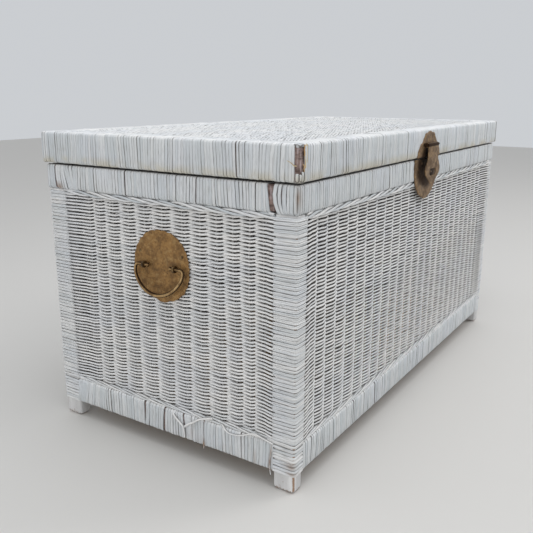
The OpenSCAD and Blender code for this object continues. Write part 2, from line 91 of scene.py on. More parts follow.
def stake_places(side, node):
    """Where a panel's stakes stand, along the side: the middles of the groups of their points."""
    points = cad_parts[node].data.vertices
    u = np.sort([float(np.array(p.co) @ side.along) for p in points])
    cuts = np.flatnonzero(np.diff(u) > 3 * MM) + 1
    return np.array([(g[0] + g[-1]) / 2 for g in np.split(u, cuts)])


# ---- tubes gathered into meshes
def ring_profile(count):
    """Points round a strand's section."""
    a = TAU * np.arange(count) / count
    return np.stack([np.cos(a), np.sin(a)], -1)


ROUND, SMOOTH_ROUND, FINE = ring_profile(6), ring_profile(8), ring_profile(12)
FLAT = np.array([(-1, -0.9), (1, -0.9), (1, 0.2), (0.62, 0.85), (0, 1), (-0.62, 0.85), (-1, 0.2)])


class Bundle:
    """Tubes gathered into one mesh, with what the reed's material reads at each point."""

    def __init__(self):
        self.points, self.faces, self.sizes = [], [], []
        self.data = {"strand": [], "tone": [], "worn": [], "bare": [], "groove": []}
        self.count = 0

    def add(self, centre, side, normal, half_w, half_t, profile=ROUND, closed=False,
            tone=None, bare=0.0, groove=1.0):
        """centre is (strands, rings, 3). side x normal is the way each strand runs.
        groove is how dark each strand's two edges are: dust, and painted shade."""
        n, p, _ = centre.shape
        s = len(profile)
        side = np.broadcast_to(side, centre.shape)[:, :, None]
        normal = np.broadcast_to(normal, centre.shape)[:, :, None]
        half_w = np.broadcast_to(half_w, (n, p))[:, :, None, None]
        half_t = np.broadcast_to(half_t, (n, p))[:, :, None, None]
        across, height = profile[:, :1], profile[:, 1:]
        points = centre[:, :, None] + side * across * half_w + normal * height * half_t
        self.points.append(points.reshape(-1, 3))
        self._faces(n, p, s, closed)
        self._data(centre, points, profile, tone, bare, groove)
        self.count += n * p * s
        return self

    def _faces(self, n, p, s, closed):
        base = self.count + np.arange(n)[:, None, None] * p * s
        ring = np.arange(p if closed else p - 1)[None, :, None]
        j = np.arange(s)[None, None, :]
        k, far = (j + 1) % s, (ring + 1) % p
        corners = [base + ring * s + j, base + ring * s + k, base + far * s + k, base + far * s + j]
        self._keep(np.stack(np.broadcast_arrays(*corners), -1).reshape(-1, 4))
        if not closed:
            first = base[:, 0]
            self._keep(first + np.arange(s)[::-1])
            self._keep(first + (p - 1) * s + np.arange(s))

    def _keep(self, faces):
        self.faces.append(faces.reshape(-1))
        self.sizes.append(np.full(len(faces), faces.shape[1]))

    def _data(self, centre, points, profile, tone, bare, groove):
        n, p, s = points.shape[:3]
        steps = np.linalg.norm(np.diff(centre, axis=1), axis=2)
        along = np.concatenate([np.zeros((n, 1)), np.cumsum(steps, 1)], 1)
        seed = rng.random(n)
        strand = np.zeros((n, p, s, 3))
        strand[..., 0] = along[:, :, None]
        strand[..., 1] = profile[:, 0]
        strand[..., 2] = seed[:, None, None]
        tone = rng.random(n) if tone is None else tone
        tone = tone if np.ndim(tone) == 2 else np.broadcast_to(tone, n)[:, None]
        bare = bare(points) if callable(bare) else bare
        self.data["strand"].append(strand.reshape(-1, 3))
        edge = groove * np.abs(profile[:, 0])
        rows = (("tone", tone[:, :, None]), ("worn", scuffed(points)), ("bare", bare), ("groove", edge))
        for key, value in rows:
            self.data[key].append(np.broadcast_to(value, (n, p, s)).reshape(-1))

    def mesh(self, name):
        points = np.concatenate(self.points)
        corners = np.concatenate(self.faces)
        sizes = np.concatenate(self.sizes)
        mesh = bpy.data.meshes.new(name)
        mesh.vertices.add(len(points))
        mesh.vertices.foreach_set("co", points.astype(np.float32).ravel())
        mesh.loops.add(len(corners))
        mesh.loops.foreach_set("vertex_index", corners.astype(np.int32))
        mesh.polygons.add(len(sizes))
        mesh.polygons.foreach_set("loop_start", (np.cumsum(sizes) - sizes).astype(np.int32))
        mesh.polygons.foreach_set("use_smooth", np.ones(len(sizes), bool))
        for key, rows in self.data.items():
            kind = "FLOAT_VECTOR" if key == "strand" else "FLOAT"
            layer = mesh.attributes.new(key, kind, "POINT")
            values = np.concatenate(rows).astype(np.float32)
            layer.data.foreach_set("vector" if key == "strand" else "value", values.ravel())
        mesh.update(calc_edges=True)
        mesh.validate()
        return mesh


# Where the paint has rubbed off the left end: place and reach in mm, and how far it is gone
SCUFFS = [
    ((-427.5, -220.5, 395.0), (9, 2.4, 12), 0.9), ((-428, -215.0, 41.0), (9, 8, 5), 0.75),
    ((-428, -218.0, 30.0), (9, 5, 2), 0.8), ((-426, -71.2, 30.0), (9, 2.4, 7), 1.0),
    ((-426, -60.7, 34.0), (9, 5, 5), 0.45), ((-426, -49.0, 40.0), (9, 1.6, 12), 0.5),
    ((-426, -158.5, 35.5), (9, 2.2, 8), 0.6), ((-426, -185.0, 54.0), (9, 1.6, 8), 0.9),
    ((-426, -183.6, 40.0), (9, 1.6, 9), 1.0), ((-426, -183.0, 27.0), (9, 1.8, 6), 0.9),
    ((-426, -182.5, 409.0), (9, 3.0, 5), 0.8), ((-426, 195.0, 379.0), (9, 7.0, 5), 0.8),
]


def scuffed(points):
    """How far the paint is gone at each point."""
    gone = np.zeros(points.shape[:-1])
    for place, reach, most in SCUFFS:
        away = (points / MM - place) / reach
        gone = np.maximum(gone, most * np.exp(-(away ** 2).sum(-1)))
    return gone


def new_object(name, data):
    obj = bpy.data.objects.new(name, data)
    bpy.context.scene.collection.objects.link(obj)
    return obj


def piece(name, mesh, material, body, slot, *stands_for):
    """An object of the trunk: it rides on a body and may stand for CAD nodes."""
    obj = new_object(name, mesh)
    mesh.materials.append(material)
    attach(obj, body)
    if stands_for:
        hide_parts(*stands_for)


def reed(name, bundle, body, *stands_for):
    """A piece of painted reed, from a bundle of strands."""
    piece(name, bundle.mesh(name), REED, body, "painted_reed", *stands_for)


def drift(count, x, length, amount):
    """Smooth wander along x for each of count strands, from three sines of random phase."""
    x = np.broadcast_to(x, (count, np.shape(x)[-1]))
    total = np.zeros(x.shape)
    for _ in range(3):
        wave = TAU / (length * rng.uniform(0.6, 1.7, (count, 1)))
        total += np.sin(wave * x + rng.uniform(0, TAU, (count, 1)))
    return amount * total / 2


def curve_through(points, per_span=6):
    """A smooth line through points, by Catmull-Rom."""
    p = np.array(points, float)
    p = np.concatenate([[2 * p[0] - p[1]], p, [2 * p[-1] - p[-2]]])
    t = np.linspace(0, 1, per_span, endpoint=False)[:, None]
    line = []
    for a, b, c, d in zip(p, p[1:], p[2:], p[3:]):
        line.append(0.5 * (2 * b + (c - a) * t + (2 * a - 5 * b + 4 * c - d) * t ** 2
                           + (3 * b - a - 3 * c + d) * t ** 3))
    return np.concatenate(line + [p[-2][None]])


def line_frame(line, out):
    """Side and normal vectors along one line, with the normal as near to out as it can be."""
    run = np.gradient(line, axis=0)
    run /= np.linalg.norm(run, axis=1, keepdims=True)
    normal = out - (run @ out)[:, None] * run
    normal /= np.linalg.norm(normal, axis=1, keepdims=True)
    return np.cross(normal, run), normal


# ---- materials
class Look:
    """A material's node tree, with short ways to add nodes and join them."""

    def __init__(self, name):
        self.material = bpy.data.materials.new(name)
        self.material.use_nodes = True
        self.tree = self.material.node_tree
        self.shader = self.tree.nodes["Principled BSDF"]

    def set(self, node, sockets):
        """Join what goes into a node's sockets, or set it."""
        for socket, value in sockets.items():
            if isinstance(value, bpy.types.NodeSocket):
                self.tree.links.new(value, node.inputs[socket])
            else:
                node.inputs[socket].default_value = value

    def node(self, kind, output, sockets, **settings):
        """A new node's output."""
        node = self.tree.nodes.new("ShaderNode" + kind)
        for key, value in settings.items():
            setattr(node, key, value)
        self.set(node, sockets)
        return node.outputs[output]

    def attribute(self, name, output="Fac"):
        return self.node("Attribute", output, {}, attribute_name=name)

    def math(self, operation, a, b=0.0):
        return self.node("Math", 0, {0: a, 1: b}, operation=operation)

    def times(self, a, b):
        return self.math("MULTIPLY", a, b)

    def stretched(self, vector, stretch):
        """A vector with each of its parts stretched by its own factor."""
        return self.node("VectorMath", 0, {0: vector, 1: stretch}, operation="MULTIPLY")

    def position(self, stretch=(1, 1, 1)):
        """The object's own coordinates, stretched."""
        return self.stretched(self.node("TexCoord", "Object", {}), stretch)

    def axis(self, name):
        return self.node("SeparateXYZ", name, {"Vector": self.position()})

    def noise(self, vector, scale=1.0, detail=3.0, rough=0.55):
        sockets = {"Vector": vector, "Scale": scale, "Detail": detail, "Roughness": rough}
        return self.node("TexNoise", "Fac", sockets)

    def spots(self, scale, detail=3.0, rough=0.55):
        """Noise that is alike in every direction."""
        return self.noise(self.position(), scale, detail, rough)

    def ramp(self, factor, low, high, bottom=0.0, top=1.0):
        """factor remapped from low..high to bottom..top, and held inside it."""
        sockets = {"Value": factor, "From Min": low, "From Max": high, "To Min": bottom, "To Max": top}
        return self.node("MapRange", "Result", sockets, interpolation_type="SMOOTHSTEP")

    def mix(self, factor, a, b):
        return self.node("Mix", 2, {0: factor, 6: a, 7: b}, data_type="RGBA")

    def finish(self, colour, rough, height, bump_mm, strength):
        """The material, once its colour, roughness and bump are joined to the shader."""
        bump = {"Height": height, "Distance": bump_mm * MM, "Strength": strength}
        self.set(self.shader, {"Base Color": colour, "Roughness": rough,
                               "Normal": self.node("Bump", "Normal", bump)})
        return self.material


def srgb(r, g, b):
    """A colour from 8-bit sRGB values to the linear values that a shader takes."""
    def linear(c):
        c /= 255
        return c / 12.92 if c <= 0.04045 else ((c + 0.055) / 1.055) ** 2.4
    return (linear(r), linear(g), linear(b), 1.0)


def painted_reed():
    """White paint over reed: tinted strand by strand, thin in streaks, brown where it is worn,
    yellowed where hands lift the lid, darker along each strand's edges with dust and painted
    shade, dark where the reed lies behind the paint line (unpainted reed, made darker as painted
    shade), and nearly black with painted shade in the gap between the lid and the rim."""
    look = Look("painted_reed")
    strand = look.attribute("strand", "Vector")
    streak = look.noise(look.stretched(strand, (60, 2.2, 90)), 1.0, 4)
    fibre = look.noise(look.stretched(strand, (110, 9, 57)))
    patch, dusty = look.spots(14), look.spots(33)
    tint = look.mix(look.attribute("tone"), srgb(202, 207, 209), srgb(243, 241, 238))
    tint = look.mix(look.ramp(patch, 0.42, 0.66, 0, 0.3), tint, srgb(214, 218, 226))
    paint = look.mix(look.ramp(streak, 0.48, 0.7, 0, 0.6), tint, srgb(170, 171, 170))
    above = look.math("SUBTRACT", look.axis("Z"), lid_lo.z)
    handled = look.times(look.ramp(above, 2 * MM, 16 * MM, 0.5, 0), look.ramp(above, -1 * MM, 0))
    paint = look.mix(look.times(handled, look.ramp(dusty, 0.35, 0.6)), paint, srgb(196, 184, 152))
    reed = look.mix(look.ramp(streak, 0.35, 0.65), srgb(108, 76, 54), srgb(158, 124, 92))
    wear = look.times(look.ramp(streak, 0.68, 0.8, 0, 0.6), look.ramp(fibre, 0.35, 0.6))
    chipped = look.times(look.attribute("worn"), look.ramp(fibre, 0.25, 0.5, 0.6, 1))
    worn = look.mix(look.math("MAXIMUM", wear, chipped), paint, reed)
    # Reed behind the paint line: unpainted reed, darker than the worn reed as painted shade in the
    # weave's gaps.
    inner = look.mix(look.ramp(fibre, 0.3, 0.7), srgb(62, 53, 44), srgb(94, 83, 70))
    body = look.mix(look.attribute("bare"), worn, inner)
    # Painted shade, with dust: every strand darkens along its edges, where strands meet and shade one
    # another.
    dust = look.ramp(dusty, 0.3, 0.65, 0.45, 0.95)
    dirt = look.times(look.ramp(look.attribute("groove"), 0.6, 1.0), dust)
    dirty = look.mix(dirt, body, srgb(98, 93, 88))
    # Painted shade, with some dust: nearly black along the rim's top edge and the lid's lower edge, in
    # the gap between them.
    rim = rim_hi.z - lid_lo.z
    seam_shade_and_dust = look.times(look.ramp(above, rim - 1.4 * MM, rim - 0.2 * MM, 0, 0.8),
                      look.ramp(above, 0.8 * MM, 0.2 * MM))
    colour = look.mix(seam_shade_and_dust, dirty, srgb(44, 38, 32))
    return look.finish(colour, look.ramp(streak, 0.3, 0.7, 0.45, 0.62), fibre, 0.35, 0.6)


def painted_wood():
    """White paint on turned wood, chipped to brown in specks and scuffs, and rubbed off the
    posts' outer corners."""
    look = Look("painted_wood")
    grain = look.noise(look.position((60, 60, 7)), 1.0, 5)
    chips, scuff = look.spots(260, 5, 0.75), look.spots(46)
    away = [look.math("SUBTRACT", look.math("ABSOLUTE", look.axis(name)), at)
            for name, at in (("X", post_out_x), ("Y", post_out_y))]
    off_edge = look.math("SQRT", look.math("ADD", *(look.times(a, a) for a in away)))
    off_edge = look.math("ADD", off_edge, look.ramp(scuff, 0.3, 0.7, -1.5 * MM, 1.5 * MM))
    rubbed = look.ramp(off_edge, 0.8 * MM, 2.4 * MM, 0.9, 0)
    low = look.ramp(look.axis("Z"), 1 * MM, 9 * MM, 0.13, 0.0)
    chipped = look.times(look.ramp(look.math("ADD", chips, low), 0.63, 0.67),
                         look.ramp(look.math("ADD", scuff, low), 0.45, 0.6))
    paint = look.mix(look.ramp(grain, 0.4, 0.65), srgb(204, 203, 202), srgb(232, 231, 230))
    wood = look.mix(grain, srgb(104, 66, 42), srgb(164, 124, 86))
    colour = look.mix(look.math("MAXIMUM", chipped, rubbed), paint, wood)
    height = look.math("ADD", grain, look.times(chips, 0.4))
    return look.finish(colour, look.ramp(grain, 0.3, 0.7, 0.4, 0.6), height, 0.5, 0.5)


def worn_wood():
    """Rail wood under the binding: dull purplish brown with pale scratches along the grain."""
    look = Look("worn_wood")
    grain = look.noise(look.position((60, 60, 300)), 1.0, 5)
    trace = look.noise(look.position((260, 260, 50)), 1.0, 4)
    wood = look.mix(look.ramp(grain, 0.35, 0.65), srgb(88, 70, 64), srgb(142, 120, 112))
    colour = look.mix(look.ramp(trace, 0.52, 0.66, 0, 0.75), wood, srgb(188, 172, 172))
    return look.finish(colour, look.ramp(trace, 0.3, 0.7, 0.6, 0.8), grain, 0.8, 0.7)


def split_reed():
    """The inside of torn reed: pale yellow to orange, with long fibres."""
    look = Look("split_reed")
    fibre = look.noise(look.stretched(look.attribute("strand", "Vector"), (90, 6, 40)), 1.0, 4)
    pale = look.mix(look.attribute("tone"), srgb(224, 214, 176), srgb(196, 150, 96))
    colour = look.mix(look.ramp(fibre, 0.4, 0.62), pale, srgb(168, 132, 92))
    return look.finish(colour, look.ramp(fibre, 0.3, 0.7, 0.6, 0.8), fibre, 0.3, 0.7)


def bare_wood(name, light, dark, stretch):
    """Unpainted boards: long grain, darker pores and a dull surface."""
    look = Look(name)
    grain = look.noise(look.position(stretch), 1.0, 6, 0.6)
    bands = {"Scale": 9.0, "Distortion": 5.0, "Detail": 3.0,
             "Vector": look.position([s / 12 for s in stretch])}
    rings = look.node("TexWave", "Fac", bands, wave_type="BANDS", bands_direction="Y")
    blend = look.math("ADD", look.times(grain, 0.6), look.times(rings, 0.5))
    rough = look.ramp(grain, 0.3, 0.7, 0.55, 0.75)
    return look.finish(look.mix(blend, dark, light), rough, grain, 0.4, 0.5)


def aged_brass(name, light, dark, metallic, rough):
    """Old brass: mottled, crumpled and scratched. It is nearly black where the attribute
    tarnish_and_shadow says, along the sides of a rod as painted shade on tarnished brass, and in a
    band of painted shadow, with some patina, at the hasp's pin."""
    look = Look(name)
    mottle, speck = look.spots(70, 6, 0.65), look.spots(420)
    crumple = look.noise(look.position((1, 0.8, 1)), 150, 5, 0.7)
    streak = look.noise(look.position((160, 160, 24)), 1.0, 4)
    gold = look.mix(look.ramp(mottle, 0.35, 0.65), light, dark)
    gold = look.mix(look.ramp(crumple, 0.5, 0.66, 0, 0.5), gold, srgb(84, 64, 40))
    gold = look.mix(look.ramp(crumple, 0.5, 0.34, 0, 0.4), gold, srgb(196, 164, 112))
    scratched = look.mix(look.ramp(streak, 0.56, 0.7, 0, 0.3), gold, srgb(92, 74, 52))
    spotted = look.mix(look.ramp(speck, 0.6, 0.7, 0, 0.6), scratched, srgb(60, 44, 30))
    # Painted shadow of the hasp's strap, over tarnished brass, wherever the attribute tarnish_and_shadow
    # is set.
    tarnish_and_shadow = look.times(look.attribute("tarnish_and_shadow"), look.ramp(mottle, 0.2, 0.6, 1, 0.75))
    # Painted shade on tarnished brass: a rod goes dark along its two sides, beside a lighter middle.
    sides = look.ramp(look.attribute("groove"), 0.3, 0.8, 0, 0.9)
    # Painted shadow, with some patina: a dark band on the hasp at the height of its pin, by the hinge
    # barrel.
    pin_z, pin_x = (pin_lo.z + pin_hi.z) / 2, pin_hi.x
    pin_shadow_and_patina = look.times(look.ramp(look.axis("Z"), pin_z - 3 * MM, pin_z - 1.5 * MM, 0, 0.9),
                       look.ramp(look.axis("Z"), pin_z + 4 * MM, pin_z + 2.5 * MM))
    off_pin = look.math("ABSOLUTE", look.axis("X"))
    pin_shadow_and_patina = look.times(pin_shadow_and_patina, look.ramp(off_pin, pin_x - 1 * MM, pin_x + 3 * MM, 1, 0))
    black = look.math("MAXIMUM", look.math("MAXIMUM", tarnish_and_shadow, pin_shadow_and_patina), sides)
    specular = look.math("SUBTRACT", 0.5, look.times(black, 0.42))
    look.set(look.shader, {"Metallic": metallic, "Specular IOR Level": specular})
    smooth = look.ramp(mottle, 0.3, 0.7, rough, rough + 0.2)
    height = look.math("ADD", mottle, look.times(crumple, 0.5))
    return look.finish(look.mix(black, spotted, srgb(36, 18, 10)),
                       look.math("MAXIMUM", smooth, look.times(black, 0.8)), height, 1.0, 0.6)


REED = painted_reed()
WOOD = painted_wood()
RAIL_WOOD = worn_wood()
BOARD = bare_wood("plywood", srgb(196, 164, 118), srgb(150, 116, 76), (6, 70, 70))
LEDGER = bare_wood("bare_wood", srgb(168, 132, 92), srgb(112, 80, 52), (20, 60, 60))
BRASS = aged_brass("aged_brass", srgb(160, 121, 71), srgb(128, 96, 58), 0.55, 0.45)
HASP_BRASS = aged_brass("hasp_brass", srgb(140, 112, 80), srgb(100, 78, 56), 0.5, 0.42)
ROD_BRASS = aged_brass("rod_brass", srgb(118, 92, 58), srgb(58, 44, 28), 0.7, 0.22)
BAIL_BRASS = aged_brass("bail_brass", srgb(198, 164, 114), srgb(142, 110, 70), 0.6, 0.25)
SPLIT = split_reed()

# ---- woven panels
ROW = 5.0 * MM           # from one row to the next
STRAND = 1.5 * MM        # radius of a strand
TWIST = 1.15 * MM        # how far a pair's strands pass over and under each other
CROSSING = 6.0           # how sudden that passing is
FLATNESS = 0.8           # how flat a strand runs past a stake
SAG = 0.4 * MM           # how far it dips there
STEPS = 8                # rings from one stake to the next
# How the strands of each kind of face lie and look: how far they swing in and out, how far out
# from the middle plane the paint stops, how far the reed behind that takes the dark unpainted
# colour, partly painted shade, how dark the strands' edges are with dust and painted shade, and
# the tone of the dullest strand. With the paint line further out and darker edges, the long faces
# and the lid get deeper painted shade in their gaps than the ends.
FACES = {"end": (2.3 * MM, 0.2 * MM, 0.7, 0.15, 0.6), "long": (3.4 * MM, 1.0 * MM, 1.0, 0.6, 0.7),
         "lid": (2.5 * MM, 1.2 * MM, 1.0, 0.68, 0.45)}


class Panel:
    """One woven face: pairs of strands twist round each other between upright stakes."""

    def __init__(self, side, weave_node, stake_node, lean):
        (self.u_lo, self.u_hi), (self.v_lo, self.v_hi), (w_lo, w_hi) = span(side, weave_node)
        self.side, self.nodes = side, (weave_node, stake_node)
        self.swing, self.paint_depth, self.bareness, self.dirt, self.dullest = FACES[side.kind]
        self.w_mid = (w_lo + w_hi) / 2
        self.stakes = stake_places(side, stake_node)
        self.lean = rng.uniform(-lean, lean, len(self.stakes))
        self.bend = rng.uniform(-lean, lean, len(self.stakes)) / 2
        self.rows = int(round((self.v_hi - self.v_lo) / ROW))

    def stake_u(self, v):
        """Each stake's place at each height: they lean and bend a little, all differently."""
        h = (v - (self.v_lo + self.v_hi) / 2) / (self.v_hi - self.v_lo)
        return self.stakes + self.lean * h[..., None] + self.bend * np.sin(TAU * h[..., None])

    def pair(self, v, ends_out, ends_in):
        """Both strands of each row: (u, v, w) of rings, for rows at heights v."""
        last = len(self.stakes) - 1
        t = np.linspace(0, last, STEPS * last + 1)
        at = self.stake_u(v)
        inner_u = np.stack([np.interp(t, np.arange(last + 1), row) for row in at])
        gap = np.linspace(0, 1, 4)[:-1]
        u = np.concatenate([self.u_lo + gap * (at[:, :1] - self.u_lo), inner_u,
                            self.u_hi + gap[::-1] * (at[:, -1:] - self.u_hi)], 1)
        face, cross = np.cos(math.pi * t), np.sin(math.pi * t)
        out = self.swing * np.sign(face) * np.abs(face) ** FLATNESS
        over = TWIST * np.sign(cross) * np.abs(cross) ** CROSSING
        ease = gap * gap * (3 - 2 * gap)
        rows = []
        for sign in (1, -1):
            w = sign * out
            ends = []
            for stake_w in (w[0], w[-1]):
                goal = ends_out if stake_w > 0 else -ends_in
                ends.append(goal + (stake_w - goal) * ease)
            full_w = np.concatenate([ends[0], w, ends[1][::-1]])
            full_v = np.pad(sign * over - SAG * face ** 2, len(gap))
            wander = drift(len(v), u, 160 * MM, 0.3 * MM)
            depth = drift(len(v), u, 60 * MM, 0.2 * MM)
            rows.append((u, v[:, None] + full_v + wander, self.w_mid + full_w + depth))
        return rows

    def bundle(self, first, stop, ends_out, ends_in):
        """Rows first to stop as one bundle of strands."""
        v = self.v_lo + ROW * (np.arange(first, stop) + 0.5) + rng.normal(0, 0.12 * MM, stop - first)
        bundle = Bundle()
        out, mid = self.side.out, self.w_mid

        # Reed deeper than the paint line takes the dark unpainted colour, partly painted shade in the
        # gaps.
        def bare(points):
            return self.bareness * np.clip((mid + self.paint_depth - points @ out) / (1.8 * MM), 0, 1)

        for u, height, w in self.pair(v, ends_out, ends_in):
            size = STRAND * (1 + rng.normal(0, 0.05, (len(v), 1)))
            size = size + drift(len(v), u, 90 * MM, 0.05 * MM)
            # Edges darken more off the crossings, on the humps: dust, and painted shade.
            off_cross = np.clip(np.abs(w - mid) / self.swing, 0, 1)
            groove = (0.5 + self.dirt * off_cross) * rng.uniform(0.85, 1.05, (len(v), 1))
            tone = rng.uniform(self.dullest, self.dullest + 0.5, len(v))
            bundle.add(self.side.place(u, height, w), self.side.up, out, size, size, bare=bare,
                       groove=groove[:, :, None], tone=tone)
        return bundle

    def stake_bundle(self):
        """The stakes, from just inside the lower rail to just inside the upper one."""
        radius = self.swing - 0.6 * STRAND
        v = np.linspace(self.v_lo, self.v_hi, 12)
        u = self.stake_u(v).T
        centre = self.side.place(u, v[None], self.w_mid)
        # The stakes take most of the dark unpainted colour, partly as painted shade behind the strands.
        return Bundle().add(centre, -self.side.along, self.side.out, radius, radius,
                            profile=SMOOTH_ROUND, bare=0.85 * self.bareness)

    def weave(self, label, bands, ends_out, ends_in, body):
        """Pieces for the strands, in bands of rows, and for the stakes."""
        cuts = np.linspace(0, self.rows, bands + 1).astype(int)
        for i, (first, stop) in enumerate(zip(cuts, cuts[1:])):
            bundle = self.bundle(first, stop, ends_out, ends_in)
            reed(f"woven_{label}_{i + 1}", bundle, body, self.nodes[0])
        reed(f"reed_stakes_{label}", self.stake_bundle(), body, self.nodes[1])


def woven_side(name, side):
    """A side's woven panel, whose strands run on to the corner columns."""
    panel = Panel(side, "weave_" + name, "stakes_" + name, 5 * MM)
    skin, bands = (corner_out_x, 1) if side.kind == "end" else (corner_out_y, 2)
    panel.weave(name, bands, skin - 1.25 * MM - panel.w_mid, 12 * MM, "trunk_body")
    return panel


def border(panel, v, out, radius, roll):
    """A rolled border: three strands that twist round each other along the edge of a panel."""
    count, turn = 3, 84 * MM if panel.side.kind == "long" else -84 * MM
    u = np.linspace(panel.u_lo, panel.u_hi, int((panel.u_hi - panel.u_lo) / (6 * MM)))[None]
    phase = TAU * (np.arange(count)[:, None] / count + u / turn)
    height = v + roll * np.sin(phase) + drift(count, u, 120 * MM, 0.5 * MM)
    centre = panel.side.place(u, height, panel.w_mid + out + 0.6 * roll * np.cos(phase))
    return Bundle().add(centre, panel.side.up, panel.side.out, radius, radius, profile=SMOOTH_ROUND)


# ---- corner columns
def corner_path(sx, sy, inset):
    """Points and outward normals of a strand round a corner's two outer faces, in plan. Both
    its ends are tucked in past the post's inner edges."""
    r, tuck = 3.2 * MM, 3.0 * MM
    x, y = corner_out_x - inset, corner_out_y - inset
    edge_x, edge_y = post_inner_x - 0.4 * MM, post_inner_y - 0.4 * MM
    points = [(x - tuck, edge_y - 0.9 * MM, 0.3, -1), (x - 0.7 * MM, edge_y - 0.3 * MM, 0.8, -0.6),
              (x, edge_y + 1.2 * MM, 1, 0)]
    points += [(x, edge_y + k * (y - r - edge_y), 1, 0) for k in (0.33, 0.66)]
    points += [(x - r + r * math.cos(a), y - r + r * math.sin(a), math.cos(a), math.sin(a))
               for a in np.radians([0, 30, 60, 90])]
    points += [((x - r + edge_x) / 2, y, 0, 1), (edge_x + 1.2 * MM, y, 0, 1),
               (edge_x - 0.3 * MM, y - 0.7 * MM, -0.6, 0.8), (edge_x - 0.9 * MM, y - tuck, -1, 0.3)]
    p = np.array(points) * (sx, sy, sx, sy)
    if sx * sy < 0:
        p = p[::-1]
    return p[:, :2], p[:, 2:] / np.linalg.norm(p[:, 2:], axis=1, keepdims=True)


def column_strands(bundle, sx, sy, z, radius, slant, groove):
    """Strands at heights z round one corner, each with its own slant. groove is how
    dark their lower and upper edges are: dust, and painted shade."""
    plan, out = corner_path(sx, sy, radius + 0.05 * MM)
    n = len(z)
    run = np.concatenate([[0], np.cumsum(np.linalg.norm(np.diff(plan, axis=0), axis=1))])
    height = z[:, None] + slant[:, None] * (run / run[-1] - 0.5)
    height = height + drift(n, run[None], 40 * MM, 0.22 * MM)
    proud = drift(n, run[None], 40 * MM, 0.2 * MM) + rng.normal(0, 0.22 * MM, (n, 1))
    centre = np.concatenate([plan + out * proud[..., None], height[..., None]], -1)
    size = radius * (1 + rng.normal(0, 0.06, (n, 1)))
    edge = np.where(ROUND[:, 0] > 0, groove[1], groove[0]) * rng.uniform(0.5, 1.1, (n, 1, 1))
    bundle.add(centre, FRONT.up, np.pad(out, ((0, 0), (0, 1))), size, size, groove=edge,
               tone=rng.uniform(0.25, 0.85, n))


def corner_column(name, sx, sy):
    """A post's woven skin: each row's pair above the bottom rail, and thick strands beside it."""
    bundle = Bundle()
    rows = np.arange(panel_z + ROW / 2, panel_top - 0.3 * ROW, ROW)
    rows = rows + rng.normal(0, 0.3 * MM, len(rows))
    slant = rng.normal(0, 0.6 * MM, len(rows))
    for sign, groove in ((-1, (1.0, 0.2)), (1, (0.2, 1.0))):
        column_strands(bundle, sx, sy, rows + sign * 0.98 * MM, 1.3 * MM, slant, groove)
    thick = 5.0 * MM
    z = np.arange(corner_z + thick / 2, panel_z - 0.3 * thick, thick)
    slant = rng.normal(0, 0.8 * MM, len(z))
    column_strands(bundle, sx, sy, z + rng.normal(0, 0.3 * MM, len(z)), thick / 2, slant, (1.0, 1.0))
    reed(f"column_{name}", bundle, "trunk_body", f"corner_weave_{name}")


# ---- bound rails
LID_WRAP, RIM_WRAP, FOOT_WRAP = 4.7 * MM, 5.2 * MM, 5.2 * MM
BINDING_T = 2.0 * MM
WRAP_T = 0.95 * MM
SECTION_R = 3.0 * MM
# Rings round a rail's section, from under it up its outer face and over the top: the way out
# of it in degrees, how far up and how far in it is, and how deep in mm it is sunk in the wood.
# A whole loop goes on down the inner side, and an open one ends in the wood there.
WHOLE = [(-90, 0, 0, 0), (-45, 0, 0, 0), (0, 0, 0, 0), (0, 1 / 3, 0, 0), (0, 2 / 3, 0, 0), (0, 1, 0, 0),
         (45, 1, 0, 0), (90, 1, 0, 0), (90, 1, 0.5, 0), (90, 1, 1, 0), (135, 1, 1, 0), (180, 1, 1, 0),
         (180, 0.5, 1, 0), (180, 0, 1, 0), (225, 0, 1, 0), (270, 0, 1, 0), (270, 0, 0.5, 0)]
OPEN = [(-90, 0, 1, 1.6), (-90, 0, 0.85, 0.3), (-90, 0, 0.4, 0), *WHOLE[:8],
        (90, 1, 0.4, 0), (90, 1, 0.85, 0.3), (90, 1, 1, 1.6)]
# Flaws in the bindings, in mm along the rail from its middle: wraps pushed aside (where, how
# far), wraps worked loose (where, reach, bow, lean), and from where to where there are none or
# a single flat band lies
RIM_FLAWS = {"left": {"parted": [(-202.8, 4.8), (33.0, 1.2), (160.8, 1.4), (185.0, 12.4)],
                      "loose": [(177.5, 6, 1.2, -1.8), (190.0, 12, -5.4, -3.0), (-198, 10, -2.6, -1.0),
                                (-178, 11, 0, -6.0)]}}
FOOT_FLAWS = {"left": {"parted": [(-41.2, 2.2), (-33.8, 1.4), (-2.8, 2.8), (71.2, 1.6)],
                       "loose": [(-36, 8, 1.2, 1.6), (-170, 30, 0, 3.4)], "bars": [(35.2, 48.8)]}}
LID_FLAWS = {"left": {"skip": [(218.4, 226.0)]},
             "front": {"skip": [(-430.0, -419.2)], "parted": [(417.0, 1.8), (424.0, 1.4)]}}


def rail_loop(steps, w_in, w_out, v_lo, v_hi):
    """Rings round a rail's section: (v, w) and the way out of it, as (v, w) too."""
    angle, up, into, sunk = np.array(steps).T[:, None]
    a, r = np.radians(angle), SECTION_R
    deep = w_out - w_in - 2 * r if steps is WHOLE else np.maximum(w_out - w_in - r, 0.3 * MM)
    v = v_lo + r + (v_hi - v_lo - 2 * r) * up + (r - sunk * MM) * np.sin(a)
    w = w_out - r - deep * into + (r - sunk * MM) * np.cos(a)
    return v, w, np.sin(a), np.cos(a)


